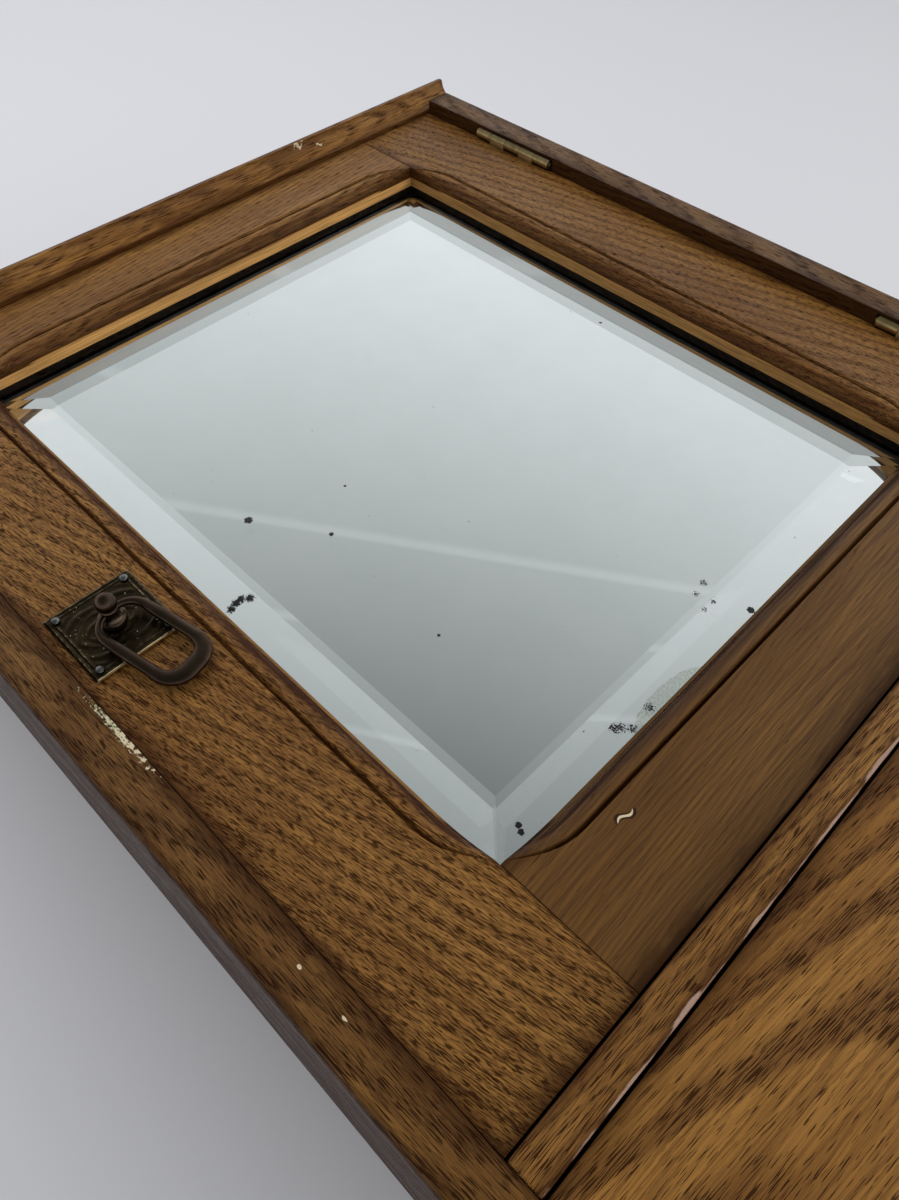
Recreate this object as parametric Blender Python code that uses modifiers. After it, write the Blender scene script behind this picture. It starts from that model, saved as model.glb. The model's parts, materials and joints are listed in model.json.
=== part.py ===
"""Antique oak medicine cabinet: an inset mirror door above one drawer, hung on a wall.

Units are metres. The origin is the middle of the back, on the wall; +Z is up and -Y is the front.
Positions are world positions at rest: door and drawer shut, latch not yet turned.
"""

import math

import bmesh
import bpy
from mathutils import Vector

MM = 0.001
GAP = 0.3 * MM  # between pieces that touch
OVER = 1.0 * MM  # how far a cutter runs past a face

# Case
CASE_WIDTH = 468 * MM
CASE_HEIGHT = 612.7 * MM
CASE_DEPTH = 150 * MM
SIDE_THICK = 19 * MM
TOP_THICK = 14 * MM
TOP_OVERHANG = 4 * MM
COVE_RADIUS = 11 * MM  # hollowed out of the top board's front, under a thin nose
BOARD_THICK = 12.7 * MM  # middle and bottom boards
BACK_THICK = 8 * MM
SHELF_THICK = 9.5 * MM
SHELF_FRONT = 108 * MM  # from the wall
DADO = 4 * MM
DRAWER_BAY = 104 * MM

# Door
DOOR_CLEARANCE = 1.2 * MM
DOOR_RECESS = 8 * MM
DOOR_THICK = 22 * MM
STILE_WIDTH = 61.8 * MM
TOP_RAIL_WIDTH = 46.2 * MM
BOTTOM_RAIL_WIDTH = 58.8 * MM
TENON_LENGTH = 28 * MM
TENON_THICK = 7 * MM
REBATE_WIDTH = 6 * MM
GLASS_THICK = 7.2 * MM
LIP_DEPTH = 12.3 * MM  # from the door's face to the back of the lip that holds the glass
BEDDING_DEPTH = 17.2 * MM  # from the door's face to the back of the frame that beds the glass
RIM_DEPTH = 18.2 * MM  # from the door's face to the front of the glass's thin rim
BEVEL_WIDTH = 39 * MM  # on the glass, part of it under the lip
BEVEL_DEPTH = 5.1 * MM
GLASS_CLEARANCE = 0.6 * MM
BACKBOARD_THICK = 4 * MM
BACKBOARD_LAP = 18 * MM

# Stopped moulding round the opening
MOULD_WIDTH = 12.4 * MM
MOULD_DEPTH = 6.8 * MM
QUIRK_WIDTH = 2.5 * MM
QUIRK_DEPTH = 2.4 * MM
RIDGE_DEPTH = 0.4 * MM
FILLET_WIDTH = 1.5 * MM
FILLET_DROP = 0.9 * MM
RUN_OUT_START = 2.5 * MM  # from the opening's corner
RUN_OUT = 28 * MM

# Butt hinges
HINGE_LENGTH = 63.5 * MM
HINGE_MIDDLES = (-87.5 * MM, 211.0 * MM)
KNUCKLES = 5
BARREL_RADIUS = 3.0 * MM
PIN_RADIUS = 1.2 * MM
LEAF_THICK = 1.1 * MM
LEAF_WIDTH = 20 * MM
HINGE_X = 214.4 * MM
HINGE_Y = -145.2 * MM

# Drop pull, on the door with a turning post and on the drawer with a fixed one
PULL_X = -188.5 * MM
PULL_Z = 62.0 * MM
PLATE_OFFSET_X = -0.9 * MM
PLATE_WIDTH = 40 * MM
PLATE_HEIGHT = 41 * MM
PLATE_THICK = 1.6 * MM
EYE_STANDOFF = 8 * MM  # from the wood's face to the bail's pivot
SHAFT_RADIUS = 2.6 * MM
BAIL_WIDTH = 22 * MM  # between the middles of the arms
BAIL_LENGTH = 43 * MM
BAIL_CORNER = 8 * MM
BAIL_LEAN = math.radians(5.2)
LATCH_SKEW = math.radians(13)  # how far the latch has been turned from plumb at rest
CAM_LENGTH = 31 * MM
CAM_WIDTH = 9 * MM
CAM_THICK = 3 * MM

# Drawer
DRAWER_RECESS = 5 * MM
DRAWER_FRONT_THICK = 16 * MM
DRAWER_SIDE_THICK = 9 * MM
DRAWER_BOTTOM_THICK = 5 * MM

# Worked out from the above
HALF = CASE_WIDTH / 2
INNER = HALF - SIDE_THICK
TOP_Z = CASE_HEIGHT / 2
UNDER_TOP = TOP_Z - TOP_THICK
BOTTOM_Z = -TOP_Z
BAY_FLOOR = BOTTOM_Z + BOARD_THICK
DIVIDER_LOW = BAY_FLOOR + DRAWER_BAY
DIVIDER_HIGH = DIVIDER_LOW + BOARD_THICK
BACK_FACE = -BACK_THICK  # inside face of the back boards
DOOR_HALF = INNER - DOOR_CLEARANCE
DOOR_LOW = DIVIDER_HIGH + DOOR_CLEARANCE
DOOR_HIGH = UNDER_TOP - DOOR_CLEARANCE
DOOR_FRONT = -CASE_DEPTH + DOOR_RECESS
DOOR_BACK = DOOR_FRONT + DOOR_THICK
SIGHT_HALF = DOOR_HALF - STILE_WIDTH
SIGHT_LOW = DOOR_LOW + BOTTOM_RAIL_WIDTH
SIGHT_HIGH = DOOR_HIGH - TOP_RAIL_WIDTH
GLASS_BACK = DOOR_FRONT + RIM_DEPTH + GLASS_THICK - BEVEL_DEPTH
GLASS_HALF = SIGHT_HALF + REBATE_WIDTH - GLASS_CLEARANCE
GLASS_LOW = SIGHT_LOW - REBATE_WIDTH + GLASS_CLEARANCE
GLASS_HIGH = SIGHT_HIGH + REBATE_WIDTH - GLASS_CLEARANCE
SHELF_MIDDLES = (DIVIDER_HIGH + 156.5 * MM, DIVIDER_HIGH + 312.5 * MM)
CAM_FRONT = DOOR_BACK + 0.5 * MM

PARTS = bpy.data.collections.new("medicine_cabinet")
CUTTERS = bpy.data.collections.new("cutters")


# ---------------------------------------------------------------- tools


def clear_scene():
    for obj in list(bpy.data.objects):
        bpy.data.objects.remove(obj)
    for collection in (PARTS, CUTTERS):
        bpy.context.scene.collection.children.link(collection)


def material(name, colour, roughness, metallic=0.0):
    made = bpy.data.materials.new(name)
    made.use_nodes = True
    shader = made.node_tree.nodes["Principled BSDF"]
    shader.inputs["Base Color"].default_value = (*colour, 1.0)
    shader.inputs["Roughness"].default_value = roughness
    shader.inputs["Metallic"].default_value = metallic
    return made


def place(name, data, finish, location=(0, 0, 0), rotation=(0, 0, 0)):
    """A visible piece, or a cutter when it has no finish."""
    obj = bpy.data.objects.new(name, data)
    obj.location = location
    obj.rotation_euler = rotation
    if finish is None:
        obj.hide_render = True
        obj.display_type = "WIRE"
        CUTTERS.objects.link(obj)
    else:
        if not data.materials:
            data.materials.append(finish)
        PARTS.objects.link(obj)
    return obj


def box(name, low, high, finish=None):
    low, high = Vector(low), Vector(high)
    mesh = bpy.data.meshes.new(name)
    shape = bmesh.new()
    bmesh.ops.create_cube(shape, size=1.0)
    bmesh.ops.scale(shape, vec=high - low, verts=shape.verts)
    shape.to_mesh(mesh)
    shape.free()
    return place(name, mesh, finish, (low + high) / 2)


def cylinder(name, radius, start, end, finish=None, sides=20):
    start, end = Vector(start), Vector(end)
    mesh = bpy.data.meshes.new(name)
    shape = bmesh.new()
    length = (end - start).length
    bmesh.ops.create_cone(
        shape, cap_ends=True, segments=sides, radius1=radius, radius2=radius, depth=length
    )
    shape.to_mesh(mesh)
    shape.free()
    rotation = (end - start).to_track_quat("Z", "Y").to_euler()
    return place(name, mesh, finish, (start + end) / 2, rotation)


def turned_mesh(name, profile):
    """Half the outline of a turned piece, from the top of its axis round to the bottom."""
    mesh = bpy.data.meshes.new(name)
    points = [(radius, 0, height) for radius, height in profile]
    mesh.from_pydata(points, [(i, i + 1) for i in range(len(points) - 1)], [])
    return mesh


def turned(name, mesh, finish, location, rotation, steps):
    obj = place(name, mesh, finish, location, rotation)
    screw = obj.modifiers.new("turned", "SCREW")
    screw.steps = screw.render_steps = steps
    screw.merge_threshold = 1e-5
    screw.use_merge_vertices = True
    screw.use_smooth_shade = True
    return obj


def boolean(obj, operation, tools):
    for tool in tools:
        modifier = obj.modifiers.new(tool.name, "BOOLEAN")
        modifier.operation = operation
        modifier.object = tool


def cut(obj, *cutters):
    boolean(obj, "DIFFERENCE", cutters)


def join(obj, *helpers):
    boolean(obj, "UNION", helpers)


def round_edges(obj, wanted, radius, segments=3):
    """Rounds the edges whose two ends pass wanted, a test on a point of the piece's own mesh."""
    shape = bmesh.new()
    shape.from_mesh(obj.data)
    edges = [edge for edge in shape.edges if all(wanted(end.co) for end in edge.verts)]
    bmesh.ops.bevel(
        shape, geom=edges, offset=radius, segments=segments, profile=0.5, affect="EDGES"
    )
    shape.to_mesh(obj.data)
    shape.free()


def pivot(name, location, rotation=(0, 0, 0), parent=None):
    """An empty on a joint's axis. Its location is in its parent's frame."""
    empty = bpy.data.objects.new(name, None)
    empty.location = location
    empty.rotation_euler = rotation
    empty.parent = parent
    PARTS.objects.link(empty)
    return empty


def hang_on(empty, *pieces):
    """Parents pieces placed in the world to an empty that isn't turned, and leaves them where they are."""
    bpy.context.view_layer.update()
    for piece in pieces:
        piece.parent = empty
        piece.matrix_parent_inverse = empty.matrix_world.inverted()


def smooth(value):
    """0 to 1 with level ends."""
    value = min(max(value, 0.0), 1.0)
    return value * value * (3 - 2 * value)


# ---------------------------------------------------------------- case


def case_side(name, sign, oak):
    """One side board. Everything inside it is let in 4 mm deep, and the back boards in a rebate."""
    inner, outer = sorted((sign * INNER, sign * HALF))
    side = box(name, (inner, -CASE_DEPTH, BOTTOM_Z), (outer, 0, UNDER_TOP - GAP), oak)
    front, edge = -CASE_DEPTH / 2, sign * SIDE_THICK / 2

    def outer_front(point):
        return abs(point.y - front) < 1e-6 and abs(point.x - edge) < 1e-6

    round_edges(side, outer_front, 2.5 * MM)

    def groove(label, low_z, high_z, front_y, depth=DADO):
        x = sorted((sign * (INNER - OVER), sign * (INNER + depth)))
        tool = box(f"{name}_{label}", (x[0], front_y, low_z - GAP), (x[1], OVER, high_z + GAP))
        cut(side, tool)

    groove("back_rebate", BOTTOM_Z - OVER, UNDER_TOP + OVER, BACK_FACE - GAP, BACK_THICK)
    groove("bottom_rebate", BOTTOM_Z - OVER, BAY_FLOOR, DOOR_FRONT)
    groove("divider_dado", DIVIDER_LOW, DIVIDER_HIGH, DOOR_FRONT)
    for label, middle in zip(("lower", "upper"), SHELF_MIDDLES):
        groove(f"{label}_dado", middle - SHELF_THICK / 2, middle + SHELF_THICK / 2, -SHELF_FRONT)
    return side


def let_in_board(name, low_z, high_z, oak):
    """A board between the sides, flush with their fronts, its ends let in behind the front."""
    half = INNER - GAP
    board = box(name, (-half, -CASE_DEPTH, low_z), (half, BACK_FACE - GAP, high_z), oak)
    reach = INNER + DADO - GAP
    ends = box(
        f"{name}_ends", (-reach, DOOR_FRONT + GAP, low_z), (reach, BACK_FACE - GAP, high_z)
    )
    join(board, ends)
    return board


def case(oak, thin_oak):
    left = case_side("side_left", -1, oak)
    right = case_side("side_right", 1, oak)
    reach = HALF + TOP_OVERHANG
    top = box(
        "top_board", (-reach, -CASE_DEPTH - TOP_OVERHANG, UNDER_TOP), (reach, 0, TOP_Z), oak
    )
    half_deep = (CASE_DEPTH + TOP_OVERHANG) / 2

    def nose(point):
        return abs(point.y + half_deep) < 1e-6 or abs(abs(point.x) - reach) < 1e-6

    round_edges(top, lambda point: nose(point) and point.z > 0, 1.8 * MM)
    cove_place = Vector((0, -CASE_DEPTH - TOP_OVERHANG - OVER, UNDER_TOP - OVER))
    ends = Vector((reach + OVER, 0, 0))
    cut(top, cylinder("cove", COVE_RADIUS, cove_place - ends, cove_place + ends, sides=48))
    let_in_board("divider_board", DIVIDER_LOW, DIVIDER_HIGH, oak)
    let_in_board("bottom_board", BOTTOM_Z, BAY_FLOOR, oak)

    shelf_half = INNER + DADO - GAP
    for name, middle in zip(("shelf_lower", "shelf_upper"), SHELF_MIDDLES):
        low = (-shelf_half, -SHELF_FRONT + GAP, middle - SHELF_THICK / 2)
        high = (shelf_half, BACK_FACE - GAP, middle + SHELF_THICK / 2)
        box(name, low, high, thin_oak)

    # Three upright back boards, and the rail inside that the wall screws pass through.
    rail = box(
        "hanging_rail",
        (-INNER + GAP, BACK_FACE - GAP - 12 * MM, UNDER_TOP - 40 * MM),
        (INNER - GAP, BACK_FACE - GAP, UNDER_TOP - GAP),
        thin_oak,
    )
    back_half = INNER + BACK_THICK - GAP
    board_width = 2 * back_half / 3
    backs = []
    for index, label in enumerate(("left", "middle", "right")):
        low_x = -back_half + index * board_width
        low = (low_x, BACK_FACE, BOTTOM_Z)
        high = (low_x + board_width - GAP, 0, UNDER_TOP - GAP)
        backs.append(box(f"back_board_{label}", low, high, thin_oak))
    for sign, board in ((-1, backs[0]), (1, backs[2])):
        x, z = sign * 150 * MM, UNDER_TOP - 20 * MM
        hole = cylinder(f"wall_screw_hole_{sign}", 2.5 * MM, (x, OVER, z), (x, -30 * MM, z), sides=16)
        cut(rail, hole)
        cut(board, hole)

    # The door closes against a lath under the top board.
    box(
        "door_stop",
        (-120 * MM, DOOR_BACK + GAP, UNDER_TOP - 9 * MM),
        (120 * MM, DOOR_BACK + 9 * MM, UNDER_TOP - GAP),
        oak,
    )
    return left, right


# ---------------------------------------------------------------- door


def mould_section(scale):
    """Section of what the moulding removes: V quirk, ovolo, fillet, as (out from the opening, depth)."""
    steps = 6
    ridge = MOULD_WIDTH - QUIRK_WIDTH
    fall = MOULD_DEPTH - FILLET_DROP - RIDGE_DEPTH
    points = [(MOULD_WIDTH, 0), (MOULD_WIDTH - QUIRK_WIDTH / 3, QUIRK_DEPTH)]
    for step in range(steps + 1):
        turn = math.pi / 2 * step / steps
        out = ridge - (ridge - FILLET_WIDTH) * math.sin(turn)
        points.append((out, RIDGE_DEPTH + fall * (1 - math.cos(turn))))
    points.append((FILLET_WIDTH, MOULD_DEPTH))
    scaled = [(out * scale, deep * scale) for out, deep in points]
    return [(-OVER, -OVER), (MOULD_WIDTH * scale, -OVER), *scaled, (-OVER, MOULD_DEPTH * scale)]


def mould_cutter(name, start, end, outward):
    """A loft along one edge of the opening. The moulding rises out of the wood before each corner.

    start and end are the opening's corners on the door's face, and outward points away from the opening.
    """
    start, end, outward = Vector(start), Vector(end), Vector(outward)
    along = (end - start).normalized()
    length = (end - start).length
    inward = Vector((0, 1, 0))
    steps = 7
    rise = [RUN_OUT_START + RUN_OUT * step / steps for step in range(steps + 1)]
    stations = [-0.4 * MM] + rise + [length - place for place in reversed(rise)] + [length + 0.4 * MM]
    shape = bmesh.new()
    rings = []
    for station in stations:
        near = min(max((min(station, length - station) - RUN_OUT_START) / RUN_OUT, 0.0), 1.0)
        scale = max(1 - (1 - near) ** 2, 0.02)
        origin = start + along * station
        ring = [shape.verts.new(origin + outward * u + inward * d) for u, d in mould_section(scale)]
        rings.append(ring)
    for first, second in zip(rings, rings[1:]):
        for i in range(len(first)):
            j = (i + 1) % len(first)
            shape.faces.new((first[i], first[j], second[j], second[i]))
    shape.faces.new(rings[0])
    shape.faces.new(rings[-1])
    bmesh.ops.recalc_face_normals(shape, faces=shape.faces)
    mesh = bpy.data.meshes.new(name)
    shape.to_mesh(mesh)
    shape.free()
    return place(name, mesh, None)


def tenon(rail, low_z, high_z, shoulder, stiles):
    """One tenon across the whole rail, and its mortise in both stiles."""
    reach = SIGHT_HALF + TENON_LENGTH
    middle = DOOR_FRONT + LIP_DEPTH - 4.5 * MM
    low = Vector((-reach, middle - TENON_THICK / 2, low_z + shoulder))
    high = Vector((reach, middle + TENON_THICK / 2, high_z - shoulder))
    join(rail, box(f"{rail.name}_tenon", low, high))
    room = Vector((GAP, GAP, GAP))
    mortise = box(f"{rail.name}_mortise", low - room, high + room)
    for stile in stiles:
        cut(stile, mortise)


def door_frame(oak):
    stiles = []
    for name, sign in (("stile_latch", -1), ("stile_hinge", 1)):
        x = sorted((sign * SIGHT_HALF, sign * DOOR_HALF))
        stile = box(name, (x[0], DOOR_FRONT, DOOR_LOW), (x[1], DOOR_BACK, DOOR_HIGH), oak)
        corners = ((sign * SIGHT_HALF, DOOR_FRONT, z) for z in (SIGHT_LOW, SIGHT_HIGH))
        cut(stile, mould_cutter(f"{name}_mould", *corners, (sign, 0, 0)))
        stiles.append(stile)
    half = SIGHT_HALF - GAP
    rails = []
    for name, low_z, high_z, edge, sign in (
        ("rail_top", SIGHT_HIGH, DOOR_HIGH, SIGHT_HIGH, 1),
        ("rail_bottom", DOOR_LOW, SIGHT_LOW, SIGHT_LOW, -1),
    ):
        rail = box(name, (-half, DOOR_FRONT, low_z), (half, DOOR_BACK, high_z), oak)
        tenon(rail, low_z, high_z, 11 * MM, stiles)
        corners = ((x, DOOR_FRONT, edge) for x in (-SIGHT_HALF, SIGHT_HALF))
        cut(rail, mould_cutter(f"{name}_mould", *corners, (0, 0, sign)))
        rails.append(rail)
    x, low_z, high_z = SIGHT_HALF + REBATE_WIDTH, SIGHT_LOW - REBATE_WIDTH, SIGHT_HIGH + REBATE_WIDTH
    rebate = box("rebate", (-x, DOOR_FRONT + LIP_DEPTH, low_z), (x, DOOR_BACK + OVER, high_z))
    for piece in stiles + rails:
        cut(piece, rebate)
    return stiles, rails


def mirror(glass):
    """A thick bevelled plate, silvered on its back. Its thin rim lies behind the lip."""
    low = (-GLASS_HALF, GLASS_BACK - GLASS_THICK, GLASS_LOW)
    plate = box("mirror", low, (GLASS_HALF, GLASS_BACK, GLASS_HIGH), glass)
    shape = bmesh.new()
    shape.from_mesh(plate.data)
    front = [face for face in shape.faces if face.normal.y < -0.5]
    bmesh.ops.inset_region(shape, faces=front, thickness=BEVEL_WIDTH)
    field = {corner for face in front for corner in face.verts}
    for corner in shape.verts:
        if corner.co.y < 0 and corner not in field:
            corner.co.y += BEVEL_DEPTH
    shape.to_mesh(plate.data)
    shape.free()
    return plate


def mirror_backing(oak, thin_oak):
    """A slim frame that beds the glass against the lip, and a board nailed on behind, its raised field in the rebate."""
    front, back = DOOR_FRONT + LIP_DEPTH + GAP, DOOR_FRONT + BEDDING_DEPTH
    bedding = box("mirror_bedding", (-GLASS_HALF, front, GLASS_LOW), (GLASS_HALF, back, GLASS_HIGH), oak)
    half, low, high = SIGHT_HALF + GAP, SIGHT_LOW - GAP, SIGHT_HIGH + GAP
    cut(bedding, box("bedding_opening", (-half, DOOR_FRONT, low), (half, DOOR_BACK, high)))
    front = DOOR_BACK + GAP
    back = front + BACKBOARD_THICK
    side, end = SIGHT_HALF + BACKBOARD_LAP, BACKBOARD_LAP - 2 * MM
    board = box(
        "mirror_backboard", (-side, front, SIGHT_LOW - end), (side, back, SIGHT_HIGH + end), thin_oak
    )
    field = (-GLASS_HALF, GLASS_BACK + GAP, GLASS_LOW), (GLASS_HALF, front + 1 * MM, GLASS_HIGH)
    join(board, box("backboard_field", *field))
    nails = []
    middle = (SIGHT_LOW + SIGHT_HIGH) / 2
    for side_name, x in (("left", -1), ("right", 1)):
        for level, z in (("lower", -1), ("upper", 1)):
            spot = (x * (SIGHT_HALF + 12 * MM), back + GAP, middle + z * 150 * MM)
            nails.append((f"backboard_nail_{level}_{side_name}", spot))
    return bedding, board, nails


# ---------------------------------------------------------------- fasteners


def screw_profile(head, shank, cone, length):
    return ((0, 0), (head, 0), (shank, -cone), (shank, -length + 2 * MM), (0, -length))


def hole_profile(head, shank, cone, length):
    head, shank = head + GAP, shank + GAP
    top, bottom = 0.5 * MM, -length - GAP
    play = 0.1 * MM
    return ((0, top), (head, top), (head, -play), (shank, -cone - play), (shank, bottom), (0, bottom))


def pin_profile(head, rise, shank, length):
    """A domed head on a straight shank. The head's flat underside is at height 0."""
    dome = [
        (head * math.sin(turn), rise * math.cos(turn))
        for turn in (math.pi / 2 * step / 3 for step in range(4))
    ]
    return dome + [(head, 0), (shank, 0), (shank, -length), (0, -length)]


class Fastener:
    """A kind of screw or pin: its mesh, shared by all of its kind, and the hole it leaves."""

    def __init__(self, name, profile, hole, finish):
        self.mesh = turned_mesh(name, profile)
        self.hole = turned_mesh(f"{name}_hole", hole)
        self.finish = finish

    def drive(self, name, location, rotation, *through):
        fastener = turned(name, self.mesh, self.finish, location, rotation, 10)
        hole = turned(f"{name}_hole", self.hole, None, location, rotation, 10)
        for piece in through:
            cut(piece, hole)
        return fastener


FACING_FRONT = (math.pi / 2, 0, 0)
FACING_BACK = (-math.pi / 2, 0, 0)
FACING_LEFT = (0, -math.pi / 2, 0)
FACING_RIGHT = (0, math.pi / 2, 0)


# ---------------------------------------------------------------- hinges


def hinge_leaf(name, low_z, knuckles, leaf_x, brass):
    """A leaf let into wood, with its share of the knuckles. leaf_x is the leaf's nearer and farther face."""
    step = HINGE_LENGTH / KNUCKLES
    back = HINGE_Y + BARREL_RADIUS + GAP
    low = (leaf_x[0], back, low_z)
    high = (leaf_x[1], DOOR_FRONT + LEAF_WIDTH, low_z + HINGE_LENGTH)
    leaf = box(name, low, high, brass)
    for index in knuckles:
        bottom = low_z + index * step + (GAP / 2 if index else 0)
        top = low_z + (index + 1) * step - (GAP / 2 if index < KNUCKLES - 1 else 0)
        barrel = cylinder(
            f"{name}_barrel_{index}", BARREL_RADIUS, (HINGE_X, HINGE_Y, bottom), (HINGE_X, HINGE_Y, top)
        )
        neck = box(f"{name}_neck_{index}", (leaf_x[0], HINGE_Y, bottom), (leaf_x[1], back + OVER, top))
        join(leaf, barrel, neck)
    over = Vector((0, 0, OVER))
    bore = cylinder(
        f"{name}_bore",
        PIN_RADIUS + GAP,
        Vector((HINGE_X, HINGE_Y, low_z)) - over,
        Vector((HINGE_X, HINGE_Y, low_z + HINGE_LENGTH)) + over,
        sides=16,
    )
    cut(leaf, bore)
    return leaf


def hinge(label, middle, side, stile, brass, screw):
    """One butt hinge with its pin and screws. Returns the pieces that swing with the door."""
    low_z = middle - HINGE_LENGTH / 2
    high_z = middle + HINGE_LENGTH / 2
    case_x = (INNER - 0.15 * MM, INNER - 0.15 * MM + LEAF_THICK)
    door_x = (DOOR_HALF + 0.15 * MM - LEAF_THICK, DOOR_HALF + 0.15 * MM)
    case_leaf = hinge_leaf(f"hinge_{label}_case_leaf", low_z, (0, 2, 4), case_x, brass)
    door_leaf = hinge_leaf(f"hinge_{label}_door_leaf", low_z, (1, 3), door_x, brass)

    head = (0, 1.4 * MM), (1.2 * MM, 1.2 * MM), (2.0 * MM, GAP)
    pin_mesh = turned_mesh(
        f"hinge_{label}_pin",
        [(x, HINGE_LENGTH / 2 + z) for x, z in head]
        + [(PIN_RADIUS, HINGE_LENGTH / 2 + GAP), (PIN_RADIUS, -HINGE_LENGTH / 2 - GAP)]
        + [(x, -HINGE_LENGTH / 2 - z) for x, z in reversed(head)],
    )
    turned(f"hinge_{label}_pin", pin_mesh, brass, (HINGE_X, HINGE_Y, middle), (0, 0, 0), 14)

    # Mortises for the leaves, and a round channel that lets the barrel turn beside the wood.
    room = Vector((0, 0, 1.6 * MM))
    channel = cylinder(
        f"hinge_{label}_channel",
        BARREL_RADIUS + 1.5 * GAP,
        Vector((HINGE_X, HINGE_Y, low_z)) - room,
        Vector((HINGE_X, HINGE_Y, high_z)) + room,
        sides=24,
    )
    for wood, label_wood, x in (
        (side, "case", (HINGE_X, case_x[1] + GAP)),
        (stile, "door", (door_x[0] - GAP, HINGE_X)),
    ):
        low = (x[0], HINGE_Y, low_z - GAP)
        high = (x[1], DOOR_FRONT + LEAF_WIDTH + GAP, high_z + GAP)
        cut(wood, channel, box(f"hinge_{label}_{label_wood}_mortise", low, high))

    moving = [door_leaf]
    y = DOOR_FRONT + 0.6 * LEAF_WIDTH
    for level, sign in (("lower", -1), ("upper", 1)):
        z = middle + sign * 19 * MM
        inset = 0.05 * MM
        name, spot = f"hinge_{label}_case_screw_{level}", (case_x[0] + inset, y, z)
        screw.drive(name, spot, FACING_LEFT, side, case_leaf)
        name, spot = f"hinge_{label}_door_screw_{level}", (door_x[1] - inset, y, z)
        moving.append(screw.drive(name, spot, FACING_RIGHT, stile, door_leaf))
    return moving


# ---------------------------------------------------------------- drop pulls


def ball_post_profile(shaft):
    """A ball on a necked post with an eye, a collar, and a shaft with a riveted head behind the wood."""
    ball_middle, ball = 14.0 * MM, 4.4 * MM
    arc = [
        (ball * math.sin(turn), ball_middle + ball * math.cos(turn))
        for turn in (math.radians(20 * step) for step in range(7))
    ]
    neck = [(4.2 * MM, 10.6 * MM), (4.2 * MM, 5.8 * MM)]
    collar = [(5.6 * MM, 4.8 * MM), (5.6 * MM, PLATE_THICK + 2 * GAP)]
    rivet = 1.2 * MM
    shank = [(SHAFT_RADIUS, PLATE_THICK + 2 * GAP), (SHAFT_RADIUS, -shaft)]
    tail = [(4.2 * MM, -shaft), (4.2 * MM, -shaft - rivet), (0, -shaft - rivet)]
    return arc + neck + collar + shank + tail


def bail_curve(name):
    """A closed loop hung by a thin top bar, with a thick grip at the bottom. Its pivot is the X axis."""
    per_corner, per_side = 4, 3
    half, corner = BAIL_WIDTH / 2, BAIL_CORNER
    centres = ((half, 0), (-half, 0), (-half, -BAIL_LENGTH), (half, -BAIL_LENGTH))
    points = []
    for index, (x, y) in enumerate(centres):
        cx, cy = math.copysign(half - corner, x), (-corner if y == 0 else -BAIL_LENGTH + corner)
        for step in range(per_corner + 1):
            turn = math.pi / 2 * (index + step / per_corner)
            points.append(Vector((cx + corner * math.cos(turn), cy + corner * math.sin(turn), 0)))
    loop = []
    for first, second in zip(points, points[1:] + points[:1]):
        straight = (second - first).length > corner
        pieces = per_side if straight else 1
        loop += [first.lerp(second, step / pieces) for step in range(pieces)]
    curve = bpy.data.curves.new(name, "CURVE")
    curve.dimensions = "3D"
    curve.twist_mode = "Z_UP"
    curve.bevel_depth = 1.0 * MM
    curve.bevel_resolution = 2
    spline = curve.splines.new("POLY")
    spline.points.add(len(loop) - 1)
    spline.use_cyclic_u = True
    for point, spot in zip(spline.points, loop):
        down = -spot.y / BAIL_LENGTH
        point.co = (*spot, 1)
        point.radius = 1.3 + 0.7 * smooth(down / 0.2) + 1.4 * smooth((down - 0.82) / 0.18)
    return curve


def drop_pull(prefix, axis, face_y, shaft, woods, metal, pin, bail_data):
    """A plate with four pins, which it returns, and its post and bail on the empty at the post's axis."""
    x, z = axis.location.x, axis.location.z
    middle_x = x + PLATE_OFFSET_X
    plate = box(
        f"{prefix}_plate",
        (middle_x - PLATE_WIDTH / 2, face_y - GAP - PLATE_THICK, z - PLATE_HEIGHT / 2),
        (middle_x + PLATE_WIDTH / 2, face_y - GAP, z + PLATE_HEIGHT / 2),
        metal,
    )
    front = -PLATE_THICK / 2
    round_edges(plate, lambda point: point.y < front + 1e-6, 0.6 * MM, 1)
    shaft_hole = cylinder(
        f"{prefix}_shaft_hole",
        SHAFT_RADIUS + GAP,
        (x, face_y - 5 * MM, z),
        (x, face_y + shaft + OVER, z),
        sides=16,
    )
    for piece in (plate, *woods):
        cut(piece, shaft_hole)
    fixed = [plate]
    for level, up in (("lower", -1), ("upper", 1)):
        for side, right in (("left", -1), ("right", 1)):
            spot = (
                middle_x + right * (PLATE_WIDTH / 2 - 4 * MM),
                face_y - PLATE_THICK - 2 * GAP,
                z + up * (PLATE_HEIGHT / 2 - 4 * MM),
            )
            fixed.append(pin.drive(f"{prefix}_pin_{level}_{side}", spot, FACING_FRONT, plate, *woods))

    post_mesh = turned_mesh(f"{prefix}_post", ball_post_profile(shaft))
    post = turned(f"{prefix}_post", post_mesh, metal, (0, 0, 0), (0, 0, 0), 16)
    reach = 8 * MM
    eye = cylinder(
        f"{prefix}_eye", 1.75 * MM, (-reach, 0, EYE_STANDOFF), (reach, 0, EYE_STANDOFF), sides=12
    )
    cut(post, eye)
    post.parent = eye.parent = axis
    bail_axis = pivot(f"{prefix}_bail_axis", (0, 0, EYE_STANDOFF), (BAIL_LEAN, 0, 0), axis)
    bail = place(f"{prefix}_bail", bail_data, metal)
    bail.parent = bail_axis
    return fixed


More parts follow.
